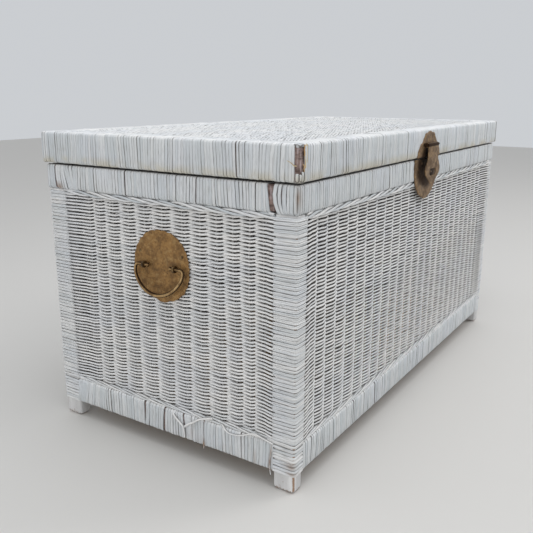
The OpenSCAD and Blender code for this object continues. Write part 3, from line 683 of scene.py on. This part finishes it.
def wrap_places(start, end, wrap, wide_gaps, parted):
    """Middles and widths of reed wraps side by side, with a wider gap now and then. parted
    lists places where the wraps are pushed aside, and how wide the gap is there."""
    n = int((end - start) / (wrap * 1.03))
    width = wrap * np.clip(1 + rng.normal(0, 0.14, n), 0.7, 1.35)
    gap = rng.uniform(-0.35, 0.12, n) * MM
    gap += np.where(rng.random(n) < wide_gaps, rng.uniform(0.5, 1.4, n), 0) * MM
    scale = (end - start) / (width + gap).sum()
    width, gap = width * scale, gap * scale
    u = start + np.cumsum(width + gap) - gap - width / 2
    for at, opening in parted:
        edges = u + width / 2
        shift = at - edges[np.argmin(np.abs(edges - at))]
        near = np.clip(1 - np.abs(u - at) / (5 * wrap), 0, 1)
        u = u + near * (shift + np.sign(u + shift - at) * opening / 2)
        width = np.where(near > 0, width * (1 - opening / (10 * wrap)), width)
    return u, width


def bind(side, core, wrap, end, mitre, wide_gaps, skip=(), parted=(), loose=(), bars=()):
    """Reed wound round one rail, out to end on both sides of the middle. From mitre[0] to
    mitre[1] the wraps are open loops that grow shorter, so that two rails meet on the diagonal.
    The flaws are those of the tables above, in metres."""
    (v_lo, v_hi), (w_lo, w_hi) = core[1:]
    inset = BINDING_T - WRAP_T
    v_lo, v_hi, w_in, w_out = v_lo - inset, v_hi + inset, w_lo - inset, w_hi + inset
    u, width = wrap_places(-end, end, wrap, wide_gaps, parted)
    keep = np.ones(len(u), bool)
    for lo, hi in [*skip, *bars]:
        keep &= (u < lo) | (u > hi)
    u, width, sunk = u[keep], width[keep], np.zeros(keep.sum())
    for lo, hi in bars:
        u, width = np.append(u, (lo + hi) / 2), np.append(width, hi - lo)
        sunk = np.append(sunk, 0.7 * MM)
    past = np.clip((np.abs(u) - mitre[0]) / (mitre[1] - mitre[0]), 0, 1)
    bow, lean = np.zeros(len(u)), np.zeros(len(u))
    for at, reach, most_bow, most_lean in loose:
        near = np.exp(-((u - at) / reach) ** 2)
        bow += most_bow * near
        lean += most_lean * near
        width = width * (1 + 0.22 * near)
    lean += drift(1, u[None], 110 * MM, 1.1 * MM)[0] * (1 - past) ** 2
    sway = drift(1, u[None], 70 * MM, 0.6 * MM)[0] + bow
    bundle = Bundle()
    for steps, pick in ((WHOLE, past == 0), (OPEN, past > 0)):
        n = int(pick.sum())
        if n:
            rows = [row[pick, None] for row in (u, width, past, lean, sway, bow, sunk)]
            loops(bundle, side, steps, n, (v_lo, v_hi, w_in, w_out), *rows)
    return bundle


def loops(bundle, side, steps, n, section, at, width, past, lean, sway, bow, sunk):
    """n wraps round a rail's section at the places at, each with its own values."""
    v_lo, v_hi, w_in, w_out = section
    v, w, out_v, out_w = rail_loop(steps, w_in + (w_out - w_in) * past, w_out, v_lo, v_hi)
    v = np.broadcast_to(v, (n, len(steps)))
    level = (v - (v_lo + v_hi) / 2) / (v_hi - v_lo) * 2
    along = at + lean * level + sway * (1 - level ** 2)
    along = along + rng.normal(0, 0.1 * MM, (n, 1)) * level
    lift = drift(n, np.arange(len(steps))[None] * 6 * MM, 30 * MM, 0.08 * MM)
    lift = lift + rng.normal(0, 0.2 * MM, (n, 1)) + 0.3 * np.abs(bow) - sunk
    centre = side.place(along, v + out_v * lift, w + out_w * lift)
    normal = out_v[..., None] * side.up + out_w[..., None] * side.out
    # Painted highlight: a wrap's paint turns whiter where it runs over the top of the rail, which the
    # light falls on.
    tone = rng.uniform(0.0, 0.45, (n, 1)) + 0.55 * np.clip(out_v, 0, 1)
    bundle.add(centre, -side.along, normal, width / 2, WRAP_T, profile=FLAT, closed=steps is WHOLE,
               tone=tone, groove=rng.uniform(0.55, 1.1, (n, 1, 1)))


def bound_rails(prefix, rails, body, stands_for, wrap, reach, wide_gaps, flaws):
    """The binding of four rails, a piece each. reach gives, for long and end rails, how
    far the wraps go from the middle and where their mitre starts and ends."""
    for name, side in SIDES.items():
        end, mitre = reach[side.kind]
        own = {kind: np.array(rows) * MM for kind, rows in flaws.get(name, {}).items()}
        bundle = bind(side, span(side, f"{rails}_{name}"), wrap, end, mitre, wide_gaps, **own)
        reed(f"{prefix}_{name}", bundle, body, stands_for)


def rail_reach(rails, outer):
    """How far the binding of a rectangle of rails reaches, and where its mitres start and end."""
    long_mitre = -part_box(f"{rails}_left")[1].x - 2 * MM
    end_mitre = -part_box(f"{rails}_front")[1].y - 2 * MM
    return {"long": (outer.x - 0.2 * MM, (long_mitre, outer.x)),
            "end": (outer.y - 2.0 * MM, (end_mitre, outer.y))}


# ---- brass
SCALLOPS = 26


def scalloped_radius(angle, radius, lobes):
    """A plate's rim: shallow scallops, and a lobe wherever lobes gives (angle, width, mm high)."""
    r = radius - 1.2 * MM * (1 - np.abs(np.cos(SCALLOPS * angle / 2)))
    for at, wide, high in lobes:
        off = np.angle(np.exp(1j * (angle - at)))
        r = r + high * MM * np.exp(-((off / wide) ** 2))
    return r


def plate_mesh(name, side, centre_v, face_w, radius, thick, dome, lobes, cut=None, tarnish_and_shadow=None):
    """A thin brass plate with a rolled, scalloped rim, dented a little by hand. cut is
    (height, +1 or -1) to keep only what lies above or below it."""
    around = SCALLOPS * 6
    angle = TAU * np.arange(around) / around
    share = np.concatenate([np.linspace(0, 0.9, 13), [0.94, 0.97, 0.99, 1.0]])[:, None]
    reach = scalloped_radius(angle, radius, lobes) * share
    u, v = reach * np.cos(angle), reach * np.sin(angle)
    bumps = sum(np.sin(u * 55 * k + a) * np.sin(v * 48 * k + b) / k
                for k, (a, b) in enumerate(rng.uniform(0, TAU, (4, 2)), 1))
    rim = 0.35 * MM * np.exp(-((share - 0.93) / 0.04) ** 2)
    roll = 0.6 * MM * (1 - np.sqrt(1 - np.clip((share - 0.96) / 0.04, 0, 1) ** 2))
    w = thick + dome * (1 - share ** 2) + 0.12 * MM * bumps * (1 - share ** 6) + rim - roll
    front = side.place(u, centre_v + v, face_w + w)
    back = side.place(u[-1], centre_v + v[-1], face_w)
    mesh = bmesh.new()
    rings = [[mesh.verts.new(point) for point in ring] for ring in (*front[1:], back)]
    top, under = mesh.verts.new(front[0, 0]), mesh.verts.new(side.place(0, centre_v, face_w))
    for i in range(around):
        k = (i + 1) % around
        mesh.faces.new((top, rings[0][i], rings[0][k]))
        mesh.faces.new((under, rings[-1][k], rings[-1][i]))
        for a, b in zip(rings, rings[1:]):
            mesh.faces.new((a[i], b[i], b[k], a[k]))
    if cut:
        at, keep = cut
        parts = mesh.verts[:] + mesh.edges[:] + mesh.faces[:]
        bmesh.ops.bisect_plane(mesh, geom=parts, dist=1e-7, plane_co=Vector(side.up) * at,
                               plane_no=Vector(side.up) * -keep, clear_outer=True)
        bmesh.ops.holes_fill(mesh, edges=[e for e in mesh.edges if e.is_boundary], sides=0)
    bmesh.ops.recalc_face_normals(mesh, faces=mesh.faces[:])
    for f in mesh.faces:
        f.smooth = True
    made = bpy.data.meshes.new(name)
    mesh.to_mesh(made)
    mesh.free()
    if tarnish_and_shadow:
        co = np.array([v.co for v in made.vertices])
        layer = made.attributes.new("tarnish_and_shadow", "FLOAT", "POINT")
        layer.data.foreach_set("value", tarnish_and_shadow(co @ side.along, co @ side.up).astype(np.float32))
    return made


def handle_plates():
    lobes = [(-TAU / 4, 0.13, 2.2), (TAU / 4, 0.5, -1.0), (0.1, 0.5, -2.4), (TAU * 0.58, 0.16, 1.0),
             (-0.75, 0.1, 1.2), (-1.1, 0.08, 1.0), (TAU * 0.32, 0.2, 1.0)]
    for name, side in (("left", LEFT), ("right", RIGHT)):
        (u_lo, u_hi), (v_lo, v_hi), (w_lo, w_hi) = span(side, f"handle_plate_{name}")
        mesh = plate_mesh(f"handle_plate_{name}", side, (v_lo + v_hi) / 2, w_lo, (u_hi - u_lo) / 2,
                          w_hi - w_lo, 0.9 * MM, lobes)
        piece(f"scalloped_plate_{name}", mesh, BRASS, "trunk_body", "aged_brass", f"handle_plate_{name}")


def bail_line(half_w, drop, pin_start):
    """A bail's centre line in its own plane: a level pin, a bend, a full side, a wide
    bottom, and the same mirrored. Points are (sideways, up) from the pivot."""
    bend, side_r = 5 * MM, 24 * MM
    fall = drop - bend
    side_c = half_w - side_r
    bottom_r = (side_c ** 2 + fall ** 2 - side_r ** 2) / (2 * (fall - side_r))
    meet = -math.atan2(bottom_r - fall, side_c)
    arcs = [((half_w - bend, -bend), bend, TAU / 4, 0, 7), ((side_c, -bend), side_r, meet / 8, meet, 8),
            ((0, bottom_r - drop), bottom_r, meet - (meet + TAU / 4) / 12, -TAU / 4, 12)]
    half = [(pin_start, 0.0), (pin_start + 6 * MM, 0.0), (half_w - bend - 3 * MM, 0.0)]
    for (cy, cz), r, start, end, steps in arcs:
        for i in range(steps + 1):
            a = start + (end - start) * i / steps
            half.append((cy + r * math.cos(a), cz + r * math.sin(a)))
    return np.array(half + [(-y, z) for y, z in half[-2::-1]])


def rod(bundle, line, out, radii, profile=FINE, tone=None):
    """A turned rod along a line of points, with its own radius at each."""
    side, normal = line_frame(line, out)
    radii = radii[None]
    bundle.add(line[None], side[None], normal[None], radii, radii, profile=profile, tone=tone)


def bails():
    """Each bail is one rod, a little fuller at the bottom, with a knob inside each eye."""
    for name, side in (("left", LEFT), ("right", RIGHT)):
        (u_lo, u_hi), (v_lo, v_hi), (w_lo, w_hi) = span(side, f"bail_{name}")
        knob, radius, pin_start = 2.9 * MM, 2.7 * MM, 19.5 * MM
        pivot_v, pivot_w = v_hi - knob, w_lo + knob
        fall, stand = pivot_v - radius - v_lo, w_hi - radius - pivot_w
        drop = math.hypot(fall, stand)
        line = bail_line((u_hi - u_lo) / 2 - radius, drop, pin_start)
        u, rise = line.T
        points = side.place(u, pivot_v + rise * fall / drop, pivot_w - rise * stand / drop)
        bundle = Bundle()
        rod(bundle, points, side.out, 2.2 * MM + 0.6 * MM * np.clip(-rise / drop, 0, 1))
        for sign in (-1, 1):
            reach = np.array([-0.4, 0.0, 0.5, 1.1, 1.7, 2.2, 2.5]) * MM
            ends = side.place(sign * (pin_start + reach), pivot_v, pivot_w)
            rod(bundle, ends, side.out, knob * np.array([0.3, 0.75, 0.97, 1.0, 0.97, 0.85, 0.6]))
        piece(f"drop_bail_{name}", bundle.mesh(f"drop_bail_{name}"), BAIL_BRASS, f"bail_{name}",
              "aged_brass", f"bail_{name}")


def hasp_plates():
    """One scalloped disc, cut by the lid's gap. Its crest and lower tip are pointed, and it
    is nearly black round its middle, behind the strap: a painted shadow of the strap over
    tarnished brass."""
    up = TAU / 4
    lobes = [(up, 0.07, 2.4), (up + 0.66, 0.2, -3.4), (up - 0.66, 0.2, -3.4), (up + 0.36, 0.12, 1.6),
             (up - 0.36, 0.12, 1.6), (-up, 0.12, 1.6)]
    (u_lo, u_hi), (v_lo, _), (w_lo, w_hi) = span(FRONT, "hasp_lower_plate")
    radius = (u_hi - u_lo) / 2
    centre = v_lo + radius

    # Painted shadow of the strap, over tarnished brass: nearly black round the plate's middle.
    def dark(u, v):
        far = np.hypot(u / 0.045, (v - centre + 1 * MM) / 0.037)
        return np.clip((1.08 - far) / 0.2, 0, 1)

    for part, body, face, cut in (("lower", "trunk_body", w_lo, (rim_hi.z - 0.5 * MM, -1)),
                                  ("upper", "lid", -lid_lo.y, (lid_lo.z + 0.5 * MM, 1))):
        node = f"hasp_{part}_plate"
        mesh = plate_mesh(node, FRONT, centre, face, radius, w_hi - w_lo, 0.4 * MM, lobes, cut, dark)
        piece(f"scalloped_hasp_plate_{part}", mesh, HASP_BRASS, body, "aged_brass", node)


def smooth_modifier():
    """Geometry nodes that shade a mesh smooth, apart from edges sharper than an angle."""
    group = bpy.data.node_groups.new("smooth_by_angle", "GeometryNodeTree")
    for way in ("INPUT", "OUTPUT"):
        group.interface.new_socket("Geometry", in_out=way, socket_type="NodeSocketGeometry")
    source, result, faces, edges, angle, sharp = (group.nodes.new(kind) for kind in (
        "NodeGroupInput", "NodeGroupOutput", "GeometryNodeSetShadeSmooth",
        "GeometryNodeSetShadeSmooth", "GeometryNodeInputMeshEdgeAngle", "FunctionNodeCompare"))
    edges.domain = "EDGE"
    edges.inputs["Shade Smooth"].default_value = False
    sharp.data_type, sharp.operation = "FLOAT", "GREATER_THAN"
    sharp.inputs[1].default_value = math.radians(38)
    for output, into in ((source.outputs[0], faces.inputs["Geometry"]),
                         (faces.outputs[0], edges.inputs["Geometry"]),
                         (angle.outputs["Unsigned Angle"], sharp.inputs[0]),
                         (sharp.outputs[0], edges.inputs["Selection"]),
                         (edges.outputs[0], result.inputs[0])):
        group.links.new(output, into)
    return group


SMOOTH = smooth_modifier()


def dress(node, material, bevel):
    """A CAD node that stays: its own material, softened edges and smooth round faces."""
    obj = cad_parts[node]
    obj.data.materials.clear()
    obj.data.materials.append(material)
    weld = obj.modifiers.new("weld", "WELD")
    weld.merge_threshold = 0.01 * MM
    if bevel:
        edge = obj.modifiers.new("bevel", "BEVEL")
        edge.width, edge.segments = bevel, 3
        edge.limit_method, edge.angle_limit = "ANGLE", math.radians(40)
    obj.modifiers.new("smooth", "NODES").node_group = SMOOTH


def dress_cad_nodes():
    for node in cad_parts:
        if node.startswith("post_"):
            dress(node, WOOD, 2.8 * MM)
        elif "rail_" in node and "binding" not in node:
            dress(node, RAIL_WOOD, 0)
        elif node == "base_board":
            dress(node, BOARD, 0.3 * MM)
        elif node.startswith("base_"):
            dress(node, LEDGER, 0.6 * MM)
        elif node.startswith("handle_eyes") or node in ("handle_nails", "hasp_pin", "hasp_staple"):
            dress(node, ROD_BRASS, 0.3 * MM)
        elif node.startswith("hasp_"):
            dress(node, HASP_BRASS, 0.4 * MM)
        elif node.startswith(("hinge_", "bail_", "handle_")):
            dress(node, BRASS, 0.3 * MM)


# ---- stage
def build_stage():
    mesh = bpy.data.meshes.new("floor")
    size, drop = 6.0, 0.5 * MM
    corners = [(-size, -size, -drop), (size, -size, -drop), (size, size, -drop), (-size, size, -drop)]
    mesh.from_pydata(corners, [], [(0, 1, 2, 3)])
    look = Look("floor")
    look.set(look.shader, {"Base Color": srgb(214, 211, 206), "Roughness": 0.6})
    mesh.materials.append(look.material)
    new_object("floor", mesh)


MIDDLE = Vector((0, 0, 0.25))


def area_light(name, place, size, power, colour):
    """A soft light that faces the trunk's middle."""
    data = bpy.data.lights.new(name, "AREA")
    data.shape, data.size, data.size_y = "RECTANGLE", size[0], size[1]
    data.energy, data.color = power, colour
    lamp = new_object(name, data)
    lamp.location, lamp.rotation_mode = place, "QUATERNION"
    lamp.rotation_quaternion = (MIDDLE - Vector(place)).to_track_quat("-Z", "Y")


def build_lights():
    bpy.context.scene.view_settings.view_transform = "Standard"
    world = bpy.data.worlds.new("studio")
    bpy.context.scene.world = world
    world.use_nodes = True
    back = world.node_tree.nodes["Background"]
    back.inputs["Color"].default_value = (0.93, 0.96, 1.0, 1.0)
    back.inputs["Strength"].default_value = 0.64
    area_light("overhead", (-0.4, -0.5, 2.4), (2.0, 1.6), 22, (0.92, 0.955, 1.0))
    area_light("window", (2.0, -2.0, 2.2), (1.2, 1.4), 23, (1.0, 0.98, 0.98))
    area_light("fill", (-2.8, -0.2, 0.9), (1.4, 1.2), 9, (1.0, 0.98, 0.97))


def build_camera():
    """At the photograph's viewing angle: from the left of the front, a little above."""
    place = Vector((-1.089, -0.608, 0.515))
    yaw, pitch, roll = (math.radians(a) for a in (33.01, -14.68, 0.20))
    forward = Vector((math.cos(yaw) * math.cos(pitch), math.sin(yaw) * math.cos(pitch), math.sin(pitch)))
    data = bpy.data.cameras.new("camera")
    data.sensor_width, data.lens = 36.0, 44.5
    data.clip_start = 0.01
    camera = new_object("camera", data)
    turn = forward.to_track_quat("-Z", "Y").to_matrix().to_4x4() @ Matrix.Rotation(roll, 4, "Z")
    camera.matrix_world = Matrix.Translation(place) @ turn
    bpy.context.scene.camera = camera


# ---- assembly
def build_body():
    panels = {name: woven_side(name, side) for name, side in SIDES.items()}
    for name, panel in panels.items():
        upper = border(panel, panel_top - 4 * MM, 5.2 * MM, 2.0 * MM, 2.7 * MM)
        reed(f"upper_border_{name}", upper, "trunk_body")
        lower = border(panel, panel_z + 3 * MM, 5.0 * MM, 1.7 * MM, 2.2 * MM)
        reed(f"lower_border_{name}", lower, "trunk_body")
    for sy, row in ((-1, "front"), (1, "rear")):
        for sx, column in ((-1, "left"), (1, "right")):
            corner_column(f"{row}_{column}", sx, sy)
    rim = rail_reach("top_rail", rim_hi)
    bound_rails("rim_binding", "top_rail", "trunk_body", "top_rail_binding", RIM_WRAP, rim, 0.06,
                RIM_FLAWS)
    foot = {"long": (post_inner_x - 0.1 * MM, (post_inner_x, corner_out_x)),
            "end": (post_inner_y - 0.1 * MM, (post_inner_y, corner_out_y))}
    bound_rails("foot_binding", "bottom_rail", "trunk_body", "bottom_rail_binding", FOOT_WRAP, foot, 0.07,
                FOOT_FLAWS)
    handle_plates()
    bails()
    hasp_plates()
    loose_reed()


def free_strand(bundle, points, radius, taper, tone):
    """A loose strand through points on the left end, thinner at its tip."""
    line = curve_through(points)
    rod(bundle, line, LEFT.out, radius * MM * np.linspace(1, taper, len(line)), SMOOTH_ROUND, tone)


# Strands that have come away along the left end's bottom rail and beside its column: radius
# in mm, thinning and tone, and points in mm along the end, up, and out from the column's face
LOOSE_STRANDS = [
    (2.0, 0.8, 1.0, [(13.0, 66.0, -3), (17.9, 60.1, 0.2), (27.9, 53.6, 1.6), (35.0, 47.8, 1.8),
                     (36.6, 40.0, 1.2), (36.8, 30.0, 0.6)]),
    (2.0, 0.8, 1.0, [(38.0, 48.0, 1.0), (43.6, 52.9, 2.2), (56.2, 61.2, 2.6), (67.0, 68.3, 2.4),
                     (79.1, 72.1, 0.5), (86.0, 72.2, -3)]),
    (1.4, 0.9, 0.95, [(104.0, 69.0, -2), (112.4, 63.0, 0.8), (122.4, 61.5, 1.4), (136.5, 63.9, 1.6),
                      (151.7, 70.4, 1.2), (162.0, 72.2, 0.6), (173.3, 70.2, 0.6), (189.1, 66.6, 0.4)]),
    (1.1, 0.7, 0.6, [(186.2, 58.0, -1.5), (185.2, 50.0, 0.6), (184.0, 40.0, 0.8), (184.5, 28.0, 1.0),
                     (186.2, 20.8, 1.4)]),
    (1.5, 0.6, 0.9, [(71.2, 33.0, -1.0), (71.2, 26.8, -0.4), (71.1, 22.2, -0.6)]),
]
# The lid's torn corner. Split slivers: where, lower and upper end, width and tone
SLIVERS = [(12.6, 430, 458.5, 1.5, 0.15), (15.6, 437, 459, 1.2, 0.0), (10.2, 446, 459, 0.9, 0.9),
           (9.8, 427, 436, 0.7, 0.7)]
# The torn wraps: side, how far along from the corner, width, and where they end below and above
# the exposed wood
STUBS = [(LEFT, -4.7, 4.4, 424.5, 458.2), (LEFT, -1.5, 2.3, 423, 457.6), (FRONT, 2.4, 4.6, 423.6, 457.8),
         (FRONT, 7.4, 4.8, 426.5, 457.0)]


def loose_reed():
    bundle = Bundle()
    for radius, taper, tone, table in LOOSE_STRANDS:
        u, v, w = np.array(table).T * MM
        free_strand(bundle, LEFT.place(u, v, corner_out_x + w), radius, taper, tone)
    reed("loose_reed_left", bundle, "trunk_body")


def wrap_stub(bundle, side, u, face, wide, cut, edge):
    """What is left of a torn wrap, from where it is torn to round the rail's edge."""
    way, sink = math.copysign(1, cut - edge), WRAP_T + 0.1 * MM
    v = [cut + way * 0.2 * MM, cut] + [edge + way * k for k in (4 * MM, 1.9 * MM, sink, sink)]
    line = side.place(u, np.array(v), face - sink - np.array([0.6, 0, 0, 0.9, 2.8, 7.95]) * MM)
    normal = np.cross(np.gradient(line, axis=0), side.along)
    normal /= np.linalg.norm(normal, axis=1, keepdims=True)
    flip = 1.0 if normal[2] @ side.out > 0 else -1.0
    bundle.add(line[None], flip * side.along, flip * normal[None], wide / 2, WRAP_T,
               profile=FLAT, tone=0.3)


def torn_corner():
    """The lid's near corner, where the wraps are torn off the ends of two rails: what is left
    of them above and below the exposed wood, split reed at its edge, and one frayed strand."""
    split, stubs = Bundle(), Bundle()
    corner = np.array((lid_lo.x, lid_lo.y, 0))
    frayed = np.array([(1.6, 6.0, -25.8), (-0.4, 8.2, -25.2), (-2.0, 11.5, -22.0), (-2.4, 16.5, -19.6)])
    free_strand(split, corner + (0, 0, lid_hi.z) + frayed * MM, 0.8, 0.4, 0.1)
    for at, z_lo, z_hi, wide, tone in SLIVERS:
        sliver = [(at + 0.8, 1.2, z_lo), (at, 0.2, z_lo + 2), (at - 0.4, 0.4, (z_lo + z_hi) / 2),
                  (at + 0.3, 0.5, z_hi - 2), (at, 2.0, z_hi)]
        line = curve_through(corner + np.array(sliver) * MM)
        across, normal = line_frame(line, FRONT.out)
        split.add(line[None], across[None], normal[None], wide * MM, 0.5 * MM, profile=FLAT, tone=tone)
    piece("torn_reed_lid", split.mesh("torn_reed_lid"), SPLIT, "lid", "painted_reed")
    for side, past, wide, z_lo, z_hi in STUBS:
        u, face = corner @ side.along + past * MM, corner @ side.out
        for cut, edge in ((z_lo, lid_lo.z), (z_hi, lid_hi.z)):
            wrap_stub(stubs, side, u, face, wide * MM, cut * MM, edge)
    reed("wrap_stubs_lid", stubs, "lid")


def build_lid():
    panel = Panel(LID_TOP, "lid_weave", "lid_stakes", 3 * MM)
    panel.weave("lid", 2, 0.5 * MM, 2.5 * MM, "lid")
    bound_rails("lid_binding", "lid_rail", "lid", "lid_binding", LID_WRAP, rail_reach("lid_rail", lid_hi),
                0.04, LID_FLAWS)
    torn_corner()


build_camera()
build_lights()
build_stage()
build_body()
build_lid()
dress_cad_nodes()
